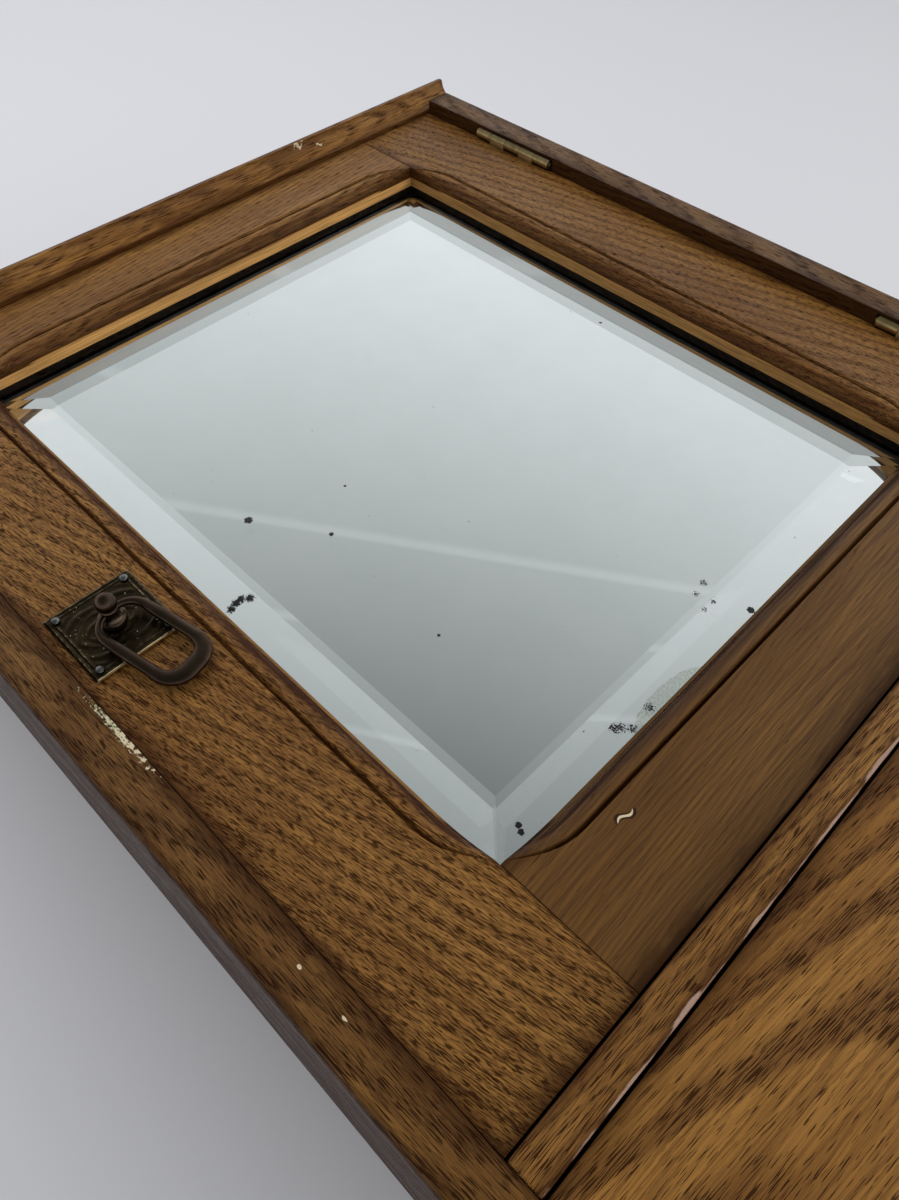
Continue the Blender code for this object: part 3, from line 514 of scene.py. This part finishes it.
def mirror():
    """Clear bevelled plate with its silvering as a thin sheet just inside its back."""
    glass = Shader("plate_glass")
    glass.set(base_color=(0.965, 0.985, 0.978), roughness=0.0, ior=1.52, transmission_weight=1.0)
    dress("mirror", glass)

    low, high = corners_of("mirror")
    sunk, thick, inset, corner = 0.05 * MM, 0.15 * MM, 0.4 * MM, 2 * MM
    mesh = bpy.data.meshes.new("silvering")
    shape = bmesh.new()
    size = (high.x - low.x - 2 * inset, thick, high.z - low.z - 2 * inset)
    bmesh.ops.create_cube(shape, size=1.0)
    bmesh.ops.scale(shape, vec=size, verts=shape.verts)
    upright = [edge for edge in shape.edges if abs(edge.verts[0].co.y - edge.verts[1].co.y) > thick / 2]
    bmesh.ops.bevel(shape, geom=upright, offset=corner, segments=4, profile=0.5, affect="EDGES")
    centre = Vector(((low.x + high.x) / 2, high.y - sunk + thick / 2, (low.z + high.z) / 2))
    bmesh.ops.translate(shape, vec=centre, verts=shape.verts)
    shape.to_mesh(mesh)
    shape.free()
    sheet = bpy.data.objects.new("silvering", mesh)
    bpy.context.collection.objects.link(sheet)
    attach(sheet, "door")
    mesh.materials.append(silver(low, high).material)


# Groups of flaked spots in the silver, in millimetres: x and z from the middle of the glass, how far the
# spots scatter along x and z, how many there are, their radius, and the share of their silver that is lost
FLAKED = (
    (-108, 20, 0, 0, 1, 3.5, 0.60),
    (-86, -14, 0, 0, 1, 2.0, 0.55),
    (-61, 5, 0, 0, 1, 1.5, 0.45),
    (-91, -90, 0, 0, 1, 1.5, 0.50),
    (-139, -14, 7, 3, 4, 4.5, 0.40),
    (6, -158, 9, 6, 6, 3.5, 0.28),
    (16, -176, 0, 0, 1, 3.0, 0.60),
    (-62, -173, 13, 3, 5, 5.0, 0.30),
    (-130, -172, 2, 2, 2, 2.5, 0.50),
    (129, 0, 0, 0, 1, 2.0, 0.40),
)


def silver(low, high):
    """Bright silver with pinholes, flaked patches and eaten corners."""
    s = Shader("silver")
    x, _, z = s.parts(s.object_place)
    centre, half = (low + high) / 2, (high - low) / 2
    flat = s.joined(x, 0.0, z)
    grit = s.noise(flat, 900.0, detail=3.0, roughness=0.65)
    clump = s.noise(flat, 160.0, detail=3.0, roughness=0.6)
    fine = s.noise(flat, 1100.0, detail=4.0, roughness=0.75)
    lost = s.span(s.math("MULTIPLY_ADD", clump, 0.6, s.math("MULTIPLY", grit, 0.6)), 0.80, 0.82)

    # Pinholes: how many cells fit in a metre, and a hole's radius as a share of its cell
    for cells, size in ((55.0, 0.022), (90.0, 0.02), (140.0, 0.016)):
        lost = s.math("MAXIMUM", lost, s.span(s.spots(flat, cells), size, 0.4 * size))
    scatter = random.Random(73)
    for group_x, group_z, reach_x, reach_z, count, radius, share in FLAKED:
        for _ in range(count):
            spot_x = centre.x + (group_x + scatter.uniform(-reach_x, reach_x)) * MM
            spot_z = centre.z + (group_z + scatter.uniform(-reach_z, reach_z)) * MM
            off = s.vector("SUBTRACT", flat, (spot_x, 0.0, spot_z))
            near = s.span(s.vector("LENGTH", off), radius * MM, 0.0)
            patch = s.math("ADD", fine, s.math("MULTIPLY", near, share))
            lost = s.math("MAXIMUM", lost, s.span(patch, 0.725, 0.75))

    # The corners are eaten away, along a ragged slant
    from_x = s.math("SUBTRACT", half.x, s.math("ABSOLUTE", s.math("SUBTRACT", x, centre.x)))
    from_z = s.math("SUBTRACT", half.z, s.math("ABSOLUTE", s.math("SUBTRACT", z, centre.z)))
    corner = s.math("ADD", from_x, from_z)
    eaten = s.math("MULTIPLY_ADD", s.math("SUBTRACT", clump, 0.5), 26 * MM, corner)
    lost = s.math("MAXIMUM", lost, s.span(eaten, 15.5 * MM, 15 * MM))

    haze = s.noise(flat, 30.0, detail=4.0, roughness=0.6)
    colour = s.blend(s.span(haze, 0.3, 0.7), (0.93, 0.945, 0.94), (0.90, 0.92, 0.915))

    # A cloudy half-moon where damp has crept in from the frame
    off = s.vector("SUBTRACT", flat, (centre.x - 47 * MM, 0.0, centre.z - 181 * MM))
    moon = s.vector("LENGTH", s.vector("MULTIPLY", off, (0.62, 1.0, 1.6)))
    moon = s.math("MULTIPLY_ADD", s.math("SUBTRACT", clump, 0.5), 4 * MM, moon)
    cloud = s.math("MULTIPLY", s.span(moon, 15.5 * MM, 14.5 * MM), s.span(grit, 0.35, 0.65, 0.35, 0.95))
    colour = s.blend(cloud, colour, (0.62, 0.65, 0.57))

    colour = s.blend(lost, colour, (0.035, 0.027, 0.022))
    metallic, rough = s.math("SUBTRACT", 1.0, lost), s.math("MULTIPLY", lost, 0.6)
    return s.set(base_color=colour, metallic=metallic, roughness=rough)


# ---------------------------------------------------------------- metalwork


def metal(name, dark, bright, rough, wear, grain=260.0, verdigris=False):
    """Cast metal: a dark patina, rubbed bright where it stands proud, and pitted.

    rough is the least and most roughness, wear how bright the rubbed places are, and grain how many clouds of
    patina fit in a metre.
    """
    s = Shader(name)
    place = s.object_place
    cloud = s.noise(place, grain, detail=5.0, roughness=0.65)
    pits = s.noise(place, 5 * grain, detail=3.0, roughness=0.6)
    edges = s.tree.nodes.new("ShaderNodeNewGeometry").outputs["Pointiness"]
    rubbed = s.math("MULTIPLY_ADD", s.math("SUBTRACT", cloud, 0.5), 0.10, edges)
    rubbed = s.math("MULTIPLY", s.span(rubbed, 0.52, 0.60), wear)
    colour = s.blend(s.span(cloud, 0.3, 0.7), dark, tuple(1.6 * part for part in dark))
    colour = s.blend(rubbed, colour, bright)
    if verdigris:
        green = s.noise(place, 1.7 * grain, detail=3.0, roughness=0.6)
        crust = s.span(green, 0.70, 0.72)
        colour = s.blend(crust, colour, (0.42, 0.42, 0.20))
        s.set(metallic=s.math("SUBTRACT", 1.0, crust))
    else:
        s.set(metallic=1.0)
    s.set(base_color=colour, roughness=s.span(cloud, 0.25, 0.75, rough[1], rough[0]))
    s.bump(s.math("ADD", cloud, s.math("MULTIPLY", pits, 0.4)), 0.15 * MM, 0.5)
    return s


def piece(name, shape, shader, body, slot, *nodes):
    """Turns a bmesh into a smooth-shaded piece that stands for CAD nodes."""
    mesh = bpy.data.meshes.new(name)
    shape.to_mesh(mesh)
    shape.free()
    mesh.shade_smooth()
    mesh.set_sharp_from_angle(angle=math.radians(40))
    mesh.materials.append(shader.material)
    obj = bpy.data.objects.new(name, mesh)
    bpy.context.collection.objects.link(obj)
    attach(obj, body)
    if nodes:
        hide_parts(*nodes)
    return obj


def lathe(shape, profile, matrix, steps=32):
    """Adds a turned form to shape. The profile is (radius, height) from the top of its axis to the bottom."""
    on_axis = 1e-7
    turns = [2 * math.pi * step / steps for step in range(steps)]
    rings = []
    for radius, height in profile:
        if radius < on_axis:
            rings.append([shape.verts.new(matrix @ Vector((0, 0, height)))])
            continue
        spots = (Vector((radius * math.cos(turn), radius * math.sin(turn), height)) for turn in turns)
        rings.append([shape.verts.new(matrix @ spot) for spot in spots])
    for upper, lower in zip(rings, rings[1:]):
        for step in range(steps):
            after = (step + 1) % steps
            loop = [upper[step % len(upper)], lower[step % len(lower)]]
            loop += [lower[after % len(lower)], upper[after % len(upper)]]
            corners = list(dict.fromkeys(loop))
            if len(corners) > 2:
                shape.faces.new(corners)


def arc(centre_radius, centre_height, radius, start, end, steps, squash=1.0):
    """Points of a profile along an arc, angles in degrees from straight up, clockwise."""
    points = []
    for step in range(steps + 1):
        turn = math.radians(start + (end - start) * step / steps)
        height = centre_height + squash * radius * math.cos(turn)
        points.append((centre_radius + radius * math.sin(turn), height))
    return points


def slab(shape, low, high, width, matrix=Matrix()):
    """Adds a box with softened edges to shape."""
    low, high = Vector(low), Vector(high)
    made = bmesh.ops.create_cube(shape, size=1.0)["verts"]
    bmesh.ops.scale(shape, vec=high - low, verts=made)
    bmesh.ops.translate(shape, vec=(low + high) / 2, verts=made)
    bmesh.ops.transform(shape, matrix=matrix, verts=made)
    edges = list({edge for corner in made for edge in corner.link_edges})
    bmesh.ops.bevel(shape, geom=edges, offset=width, segments=2, profile=0.5, affect="EDGES")


def plate_relief(u, v, half_u, half_v):
    """Height of the stamped plate's front at (u, v) from its middle, in millimetres."""
    rim = min(half_u - abs(u), half_v - abs(v))
    chamfer = -0.75 * max(0.0, 1 - rim / 0.9)
    line = -0.38 * math.exp(-(((rim - 2.1) / 0.38) ** 2))
    bead = 0.30 * math.exp(-(((rim - 3.1) / 0.45) ** 2))
    pin_seat = math.hypot(half_u - 4.0 - abs(u), half_v - 4.0 - abs(v))
    if pin_seat < 2.6:
        return 0.05
    reach = math.hypot(u, v)
    inside = min(1.0, max(0.0, (rim - 4.0) / 0.8))
    scroll = math.sin(6.4 * math.atan2(abs(v), abs(u)) + reach * 0.95) * math.cos(reach * 0.42)
    scroll = inside * 0.36 * max(0.0, scroll) ** 0.7
    boss = 0.35 * (1 if reach < 6.6 else max(0.0, 1 - (reach - 6.6) / 0.7))
    return chamfer + line + bead + scroll + boss


def backplate(prefix, body, shader):
    """The stamped plate: a fine grid lifted by its relief, with walls down to the wood."""
    low, high = corners_of(f"{prefix}_plate")
    size, centre = high - low, (low + high) / 2
    cells, relief_room = 88, 0.35 * MM
    shape = bmesh.new()
    bmesh.ops.create_grid(shape, x_segments=cells, y_segments=cells, size=0.5)
    half_u, half_v = size.x / 2 / MM, size.z / 2 / MM
    for corner in shape.verts:
        u, v = corner.co.x * size.x, corner.co.y * size.z
        lift = plate_relief(u / MM, v / MM, half_u, half_v) * MM
        corner.co = (centre.x + u, low.y + relief_room - lift, centre.z + v)
    rim = [edge for edge in shape.edges if edge.is_boundary]
    walls = bmesh.ops.extrude_edge_only(shape, edges=rim)["geom"]
    for corner in (item for item in walls if isinstance(item, bmesh.types.BMVert)):
        corner.co.y = high.y
    bmesh.ops.holes_fill(shape, edges=[edge for edge in shape.edges if edge.is_boundary], sides=0)
    bmesh.ops.recalc_face_normals(shape, faces=shape.faces)
    piece(f"{prefix}_backplate", shape, shader, body, "aged_bronze", f"{prefix}_plate")


def facing_front(place, skew=0.0):
    """A frame whose Z points out of the cabinet's front and whose Y points up, turned about Z by skew."""
    return Matrix.Translation(place) @ Euler((math.pi / 2, -skew, 0)).to_matrix().to_4x4()


def rim_highlight(prefix, body, shader):
    """The plate's lower rim as a slim bright strip proud of the bevel: a painted highlight where the chamfer
    catches the light.
    """
    low, high = corners_of(f"{prefix}_plate")
    start = (low.x + 0.8 * MM, low.y + 0.25 * MM, low.z)
    end = (high.x - 1.2 * MM, high.y, low.z + 0.95 * MM)
    shape = bmesh.new()
    slab(shape, start, end, 0.3 * MM)
    piece(f"{prefix}_rim_highlight", shape, shader, body, "aged_bronze")


def plate_pins(prefix, body, shader):
    """Four domed pins, each with a shank down to its CAD pin's end."""
    shank, lip = 0.9 * MM, 0.25 * MM
    for level in ("lower", "upper"):
        for side in ("left", "right"):
            node = f"{prefix}_pin_{level}_{side}"
            low, high = corners_of(node)
            radius = (high.x - low.x) / 2
            rise = 0.55 * radius
            root = (low.x + high.x) / 2, low.y + rise, (low.z + high.z) / 2
            tip = root[1] - high.y
            profile = arc(0, 0, radius, 0, 90, 8, squash=rise / radius)
            profile += [(0.97 * radius, -lip), (shank, -lip), (shank, tip), (0, tip)]
            shape = bmesh.new()
            lathe(shape, profile, facing_front(root), 24)
            bmesh.ops.recalc_face_normals(shape, faces=shape.faces)
            piece(f"{node}_domed", shape, shader, body, "aged_bronze", node)


def ball_post(prefix, place, skew, body, shader):
    """A ball on a waisted neck with a collar, and a shaft with a riveted tail."""
    low, high = corners_of(f"{prefix}_post")
    shape = bmesh.new()
    tail = place.y - high.y
    profile = [
        (0, 18.4), *arc(0, 14.0, 4.4, 8, 128, 12),
        *arc(5.2, 9.6, 1.75, -52, -90, 3), (3.45, 8.6), (3.7, 7.2), (4.2, 6.2), (4.9, 5.6),
        *arc(4.9, 4.6, 1.0, 0, 90, 4), (5.9, 3.4), *arc(4.9, 3.4, 1.0, 90, 150, 2), (5.4, 2.3), (2.6, 2.3),
    ]
    profile = [(radius * MM, height * MM) for radius, height in profile]
    shaft, rivet, rivet_thick, round_off = 2.6 * MM, 4.2 * MM, 1.2 * MM, 0.7 * MM
    profile += [(shaft, tail + rivet_thick), (rivet, tail + rivet_thick)]
    profile += [*arc(rivet - round_off, tail + round_off, round_off, 90, 180, 3), (0, tail)]
    lathe(shape, profile, facing_front(place, skew), 40)
    bmesh.ops.recalc_face_normals(shape, faces=shape.faces)
    piece(f"{prefix}_ball_post", shape, shader, body, "aged_bronze", f"{prefix}_post")


BAIL_HALF, BAIL_LENGTH, BAIL_CORNER = 11 * MM, 43 * MM, 8.5 * MM
BAIL_LEAN = math.radians(5.2)


def bail(prefix, pivot, skew, body, shader):
    """The pull's stirrup: a thin round top bar, arms that swell, and a broad flattened grip."""
    half, corner, length = BAIL_HALF, BAIL_CORNER, BAIL_LENGTH
    bend_steps, spacing, sides, squareness = 10, 2 * MM, 20, 0.85
    path = []
    for index, (x, y) in enumerate(((half, 0), (-half, 0), (-half, -length), (half, -length))):
        centre = math.copysign(half - corner, x), (-corner if y == 0 else corner - length)
        for step in range(bend_steps + 1):
            turn = math.pi / 2 * (index + step / bend_steps)
            path.append(Vector((centre[0] + corner * math.cos(turn), centre[1] + corner * math.sin(turn), 0)))
    full = []
    for first, second in zip(path, path[1:] + path[:1]):
        pieces = max(1, round((second - first).length / spacing))
        full += [first.lerp(second, step / pieces) for step in range(pieces)]
    hang = facing_front(pivot, skew) @ Matrix.Rotation(BAIL_LEAN, 4, "X")
    shape, rings = bmesh.new(), []
    for index, spot in enumerate(full):
        along = (full[(index + 1) % len(full)] - full[index - 1]).normalized()
        out = along.cross(Vector((0, 0, 1)))
        down = min(max(-spot.y / length, 0.0), 1.0)
        swell = min(down / 0.35, 1.0)
        grip = min(max((down - 0.70) / 0.30, 0.0), 1.0) ** 1.5
        wide = (1.45 + 1.15 * swell + 1.30 * grip) * MM
        thick = (1.45 + 0.45 * swell + 0.10 * grip) * MM
        ring = []
        for side in range(sides):
            # A section a little squarer than an ellipse
            turn = 2 * math.pi * side / sides
            u = math.copysign(abs(math.cos(turn)) ** squareness, math.cos(turn))
            v = math.copysign(abs(math.sin(turn)) ** squareness, math.sin(turn))
            ring.append(shape.verts.new(hang @ (spot + out * wide * u + Vector((0, 0, thick * v)))))
        rings.append(ring)
    for first, second in zip(rings, rings[1:] + rings[:1]):
        for side in range(sides):
            after = (side + 1) % sides
            shape.faces.new((first[side], first[after], second[after], second[side]))
    bmesh.ops.recalc_face_normals(shape, faces=shape.faces)
    piece(f"{prefix}_stirrup", shape, shader, body, "aged_bronze", f"{prefix}_bail")


HINGE_METAL, HINGE_KNUCKLES = 1.1 * MM, 5


def hinge_leaf(node, body, axis, knuckles, side, shader):
    """A flat leaf with its share of the knuckles, which lies on the side (-1 or 1 along X) of the pin."""
    low, high = corners_of(node)
    radius, step = axis.y - low.y, (high.z - low.z) / HINGE_KNUCKLES
    flat = high.x if side > 0 else low.x
    x = sorted((flat, flat - side * HINGE_METAL))
    gap, rim, bore = 0.1 * MM, 0.25 * MM, 1.3 * MM
    shape = bmesh.new()
    slab(shape, (x[0], axis.y + radius + 0.3 * MM, low.z), (x[1], high.y, high.z), 0.15 * MM)
    for index in knuckles:
        bottom, top = low.z + index * step + gap, low.z + (index + 1) * step - gap
        profile = [(bore, top), (radius - rim, top), (radius, top - rim)]
        profile += [(radius, bottom + rim), (radius - rim, bottom), (bore, bottom)]
        lathe(shape, profile, Matrix.Translation((axis.x, axis.y, 0)), 32)
        neck_low, neck_high = (x[0], axis.y, bottom + gap), (x[1], axis.y + radius + 1.0 * MM, top - gap)
        slab(shape, neck_low, neck_high, 0.1 * MM)
    bmesh.ops.recalc_face_normals(shape, faces=shape.faces)
    piece(f"{node}_rolled", shape, shader, body, "brass", node)


def hinge_pin(node, body, axis, shader):
    """A pin with a button tip at each end."""
    low, high = corners_of(node)
    pin, tip_radius, tip_drop = 1.2 * MM, 2.0 * MM, 1.3 * MM
    tip = arc(0, high.z - tip_drop, tip_radius, 0, 90, 6, squash=0.65)
    profile = tip + [(pin, high.z - tip_drop - 0.1 * MM), (pin, low.z + tip_drop + 0.1 * MM)]
    profile += [(radius, low.z + high.z - height) for radius, height in reversed(tip)]
    shape = bmesh.new()
    lathe(shape, profile, Matrix.Translation((axis.x, axis.y, 0)), 24)
    bmesh.ops.recalc_face_normals(shape, faces=shape.faces)
    piece(f"{node}_tipped", shape, shader, body, "brass", node)


def fine_hinge(label, shader, dark):
    axis = Vector(JOINTS["door_swing"]["pos_m"])
    hinge_leaf(f"hinge_{label}_case_leaf", "case", axis, (0, 2, 4), 1, shader)
    hinge_leaf(f"hinge_{label}_door_leaf", "door", axis, (1, 3), -1, shader)
    hinge_pin(f"hinge_{label}_pin", "case", axis, dark)


def screw_head(node, shader, body, side):
    """A countersunk head with a slot, seen from the side (-1 or 1 along X) that it faces."""
    low, high = corners_of(node)
    centre, radius, length = (low + high) / 2, (high.z - low.z) / 2, high.x - low.x
    face = high.x if side > 0 else low.x
    outward = Matrix.Translation((face, centre.y, centre.z)) @ Matrix.Rotation(side * math.pi / 2, 4, "Y")
    depth, half_slot = 0.7 * MM, 0.22 * radius
    cone, shank, rim, point = 0.55 * radius, 0.5 * radius, 0.12 * MM, 2 * MM
    profile = [(0, 0), (radius - 0.1 * MM, 0), (radius, -rim), (shank, -cone - rim)]
    profile += [(shank, point - length), (0, -length)]
    shape = bmesh.new()
    lathe(shape, profile, outward)
    bmesh.ops.recalc_face_normals(shape, faces=shape.faces)
    obj = piece(f"{node}_slotted", shape, shader, body, "brass", node)
    cutter_shape = bmesh.new()
    matrix = outward @ Matrix.Rotation(random.Random(node).uniform(0, math.pi), 4, "Z")
    bmesh.ops.create_cube(cutter_shape, size=1.0)
    bmesh.ops.scale(cutter_shape, vec=(3 * radius, 2 * half_slot, 2 * depth), verts=cutter_shape.verts)
    bmesh.ops.transform(cutter_shape, matrix=matrix, verts=cutter_shape.verts)
    mesh = bpy.data.meshes.new(f"{node}_slot")
    cutter_shape.to_mesh(mesh)
    cutter_shape.free()
    cutter = bpy.data.objects.new(f"{node}_slot", mesh)
    bpy.context.collection.objects.link(cutter)
    cut = obj.modifiers.new("slot", "BOOLEAN")
    cut.object = cutter
    bpy.context.view_layer.objects.active = obj
    bpy.context.view_layer.update()
    done = bpy.data.meshes.new_from_object(obj.evaluated_get(bpy.context.evaluated_depsgraph_get()))
    obj.modifiers.clear()
    obj.data = done
    bpy.data.objects.remove(cutter)


def metalwork():
    """The two pulls, the hinges, the latch's cam and keeper, and the screws and nails."""
    bronze = metal(
        "dark_bronze", (0.034, 0.024, 0.012), (0.80, 0.62, 0.36), (0.22, 0.45), 0.95,
        grain=420.0, verdigris=True,
    )
    # A bright gilt for the painted highlight along the plates' lower rims.
    highlight_gilt = metal("highlight_bronze", (0.62, 0.45, 0.20), (0.95, 0.78, 0.45), (0.2, 0.4), 0.8, grain=500.0)
    satin = metal("satin_bronze", (0.058, 0.038, 0.026), (0.26, 0.19, 0.13), (0.26, 0.38), 0.4, grain=90.0)
    pewter = metal("pewter_pins", (0.16, 0.16, 0.155), (0.35, 0.34, 0.32), (0.3, 0.5), 0.5)
    brass = metal("dull_brass", (0.20, 0.14, 0.065), (0.55, 0.42, 0.20), (0.32, 0.55), 0.7, grain=140.0)
    dark_brass = metal("dark_brass", (0.09, 0.065, 0.035), (0.40, 0.30, 0.14), (0.35, 0.55), 0.5)
    iron = metal("cut_nails", (0.07, 0.055, 0.045), (0.20, 0.17, 0.15), (0.5, 0.75), 0.4)

    # At rest the latch stands this far from its lower limit, and the door's pull is turned by as much
    skew = -math.radians(JOINTS["latch_turn"]["range_deg"][0])
    low, high = corners_of("drawer_pull_post")
    door_place = Vector(JOINTS["latch_turn"]["pos_m"])
    drawer_place = Vector(((low.x + high.x) / 2, DRAWER_FACE, (low.z + high.z) / 2))
    for prefix, place, turn, plate_body, post_body, bail_body in (
        ("pull", door_place, skew, "door", "latch", "door_bail"),
        ("drawer_pull", drawer_place, 0.0, "drawer", "drawer", "drawer_bail"),
    ):
        pivot = Vector(JOINTS[f"{bail_body}_lift"]["pos_m"])
        backplate(prefix, plate_body, bronze)
        rim_highlight(prefix, plate_body, highlight_gilt)
        plate_pins(prefix, plate_body, pewter)
        ball_post(prefix, place, turn, post_body, satin)
        bail(prefix, pivot, turn, bail_body, satin)
    for label in ("lower", "upper"):
        fine_hinge(label, brass, dark_brass)
        for level in ("lower", "upper"):
            screw_head(f"hinge_{label}_case_screw_{level}", brass, "case", -1)
            screw_head(f"hinge_{label}_door_screw_{level}", brass, "door", 1)
    for level in ("lower", "upper"):
        screw_head(f"keeper_screw_{level}", brass, "case", 1)
    for name in ("latch_cam", "latch_keeper"):
        dress(name, brass)
        worn_edges(name, 0.15 * MM)
    for name in NODES:
        if "nail" in name:
            dress(name, iron)


# ---------------------------------------------------------------- main

camera()
pale_room()
wall()
lamp("overcast_window", (-0.15, -1.5, 0.9), (0.1, 0, 0.2), 1.6, 14.0, (0.98, 0.98, 1.0))
lamp("pale_floor", (0.75, -0.95, -1.1), (0, 0, 0), 1.0, 7.0, (1.0, 0.98, 0.95))
boards()
mirror()
metalwork()
bpy.context.scene.view_settings.view_transform = "Standard"
